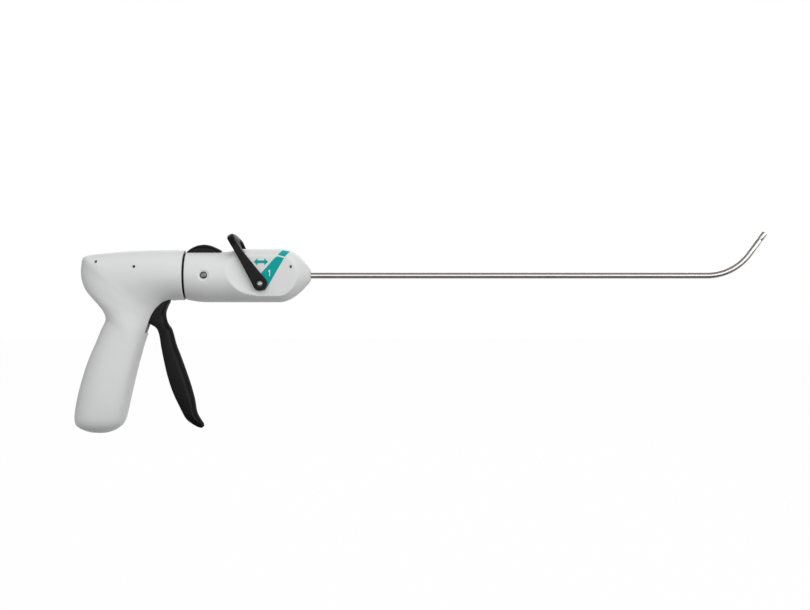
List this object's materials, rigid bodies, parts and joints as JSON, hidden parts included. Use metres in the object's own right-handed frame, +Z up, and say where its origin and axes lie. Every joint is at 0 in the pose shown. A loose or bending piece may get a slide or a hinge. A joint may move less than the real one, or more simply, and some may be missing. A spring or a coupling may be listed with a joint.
{
  "type": "hernia tacker",
  "caption": "Pistol-grip surgical fixation tool with a squeeze trigger, a rotating nose, an articulation lever and a long thin shaft with a flexing tip.",
  "frame": {"origin": "on the shaft's axis at the flat front face of the nose", "axes": "+X along the shaft towards the tip, +Z up away from the grip, -Y is the right hand side, seen in the picture"},
  "size_m": [0.5324, 0.039, 0.155],
  "materials": {
    "housing": "satin light grey moulded plastic",
    "black_controls": "satin black moulded plastic",
    "screws": "bright steel",
    "shaft_steel": "drawn stainless tube",
    "pins": "ground steel",
    "springs": "spring wire",
    "inner_mouldings": "natural acetal",
    "fasteners": "absorbable polymer"
  },
  "bodies": {
    "handle": {"handle_shell_right": "housing", "handle_shell_left": "housing", "handle_screws": "screws", "bearing_ring": "black_controls", "trigger_axle": "pins", "return_spring": "springs"},
    "trigger": {"trigger": "black_controls"},
    "drive": {"drive_spool": "inner_mouldings", "push_rod": "pins"},
    "barrel": {"barrel_shell_right": "housing", "barrel_shell_left": "housing", "barrel_screws": "screws", "side_screws": "screws", "carrier": "inner_mouldings", "shaft_hub": "inner_mouldings", "outer_tube": "shaft_steel", "button_spring": "springs", "fastener_stack": "fasteners"},
    "button": {"lock_button": "black_controls"},
    "lever": {"articulation_lever": "black_controls", "lever_axle": "pins", "lever_screws": "screws"},
    "slider": {"articulation_slider": "inner_mouldings", "articulation_tube": "shaft_steel"},
    "link_1": {"flex_link_1": "shaft_steel"},
    "link_2": {"flex_link_2": "shaft_steel"},
    "link_3": {"flex_link_3": "shaft_steel"},
    "tip": {"tip_tube": "shaft_steel"}
  },
  "joints": [
    {"name": "trigger_squeeze", "type": "hinge", "parent": "handle", "child": "trigger", "pos_m": [-0.1155, 0, -0.0125], "axis": [0, 1, 0], "range_deg": [0, 16], "stiffness_Nm_per_rad": 0.6, "springref_deg": -20.05},
    {"name": "drive_stroke", "type": "slide", "parent": "handle", "child": "drive", "axis": [1, 0, 0], "range_m": [0, 0.00481], "deforming": ["return_spring"]},
    {"name": "barrel_rotation", "type": "hinge", "parent": "handle", "child": "barrel", "pos_m": [-0.09, 0, 0], "axis": [1, 0, 0], "continuous": true},
    {"name": "button_press", "type": "slide", "parent": "barrel", "child": "button", "axis": [0, 0, -1], "range_m": [0, 0.002], "stiffness_N_per_m": 600, "springref_m": -0.002, "deforming": ["button_spring"]},
    {"name": "lever_swing", "type": "hinge", "parent": "barrel", "child": "lever", "pos_m": [-0.0375, 0, -0.0064], "axis": [0, 1, 0], "range_deg": [0, 68]},
    {"name": "slider_stroke", "type": "slide", "parent": "barrel", "child": "slider", "axis": [1, 0, 0], "range_m": [0, 0.006]},
    {"name": "flex_1", "type": "hinge", "parent": "barrel", "child": "link_1", "pos_m": [0.30988, 0, -0.0024], "axis": [0, 1, 0], "range_deg": [0, 13.55]},
    {"name": "flex_2", "type": "hinge", "parent": "link_1", "child": "link_2", "pos_m": [0.31975, 0, -0.00003], "axis": [0, 1, 0], "range_deg": [0, 13.55]},
    {"name": "flex_3", "type": "hinge", "parent": "link_2", "child": "link_3", "pos_m": [0.3288, 0, 0.00458], "axis": [0, 1, 0], "range_deg": [0, 13.55]},
    {"name": "flex_4", "type": "hinge", "parent": "link_3", "child": "tip", "pos_m": [0.33652, 0, 0.01118], "axis": [0, 1, 0], "range_deg": [0, 13.55]}
  ],
  "couplings": [
    {"joint": "drive_stroke", "follows": "trigger_squeeze", "m_per_rad": 0.016446},
    {"joint": "slider_stroke", "follows": "lever_swing", "m_per_rad": 0.004712},
    {"joint": "flex_1", "follows": "lever_swing", "ratio": 0.19853},
    {"joint": "flex_2", "follows": "lever_swing", "ratio": 0.19853},
    {"joint": "flex_3", "follows": "lever_swing", "ratio": 0.19853},
    {"joint": "flex_4", "follows": "lever_swing", "ratio": 0.19853}
  ]
}
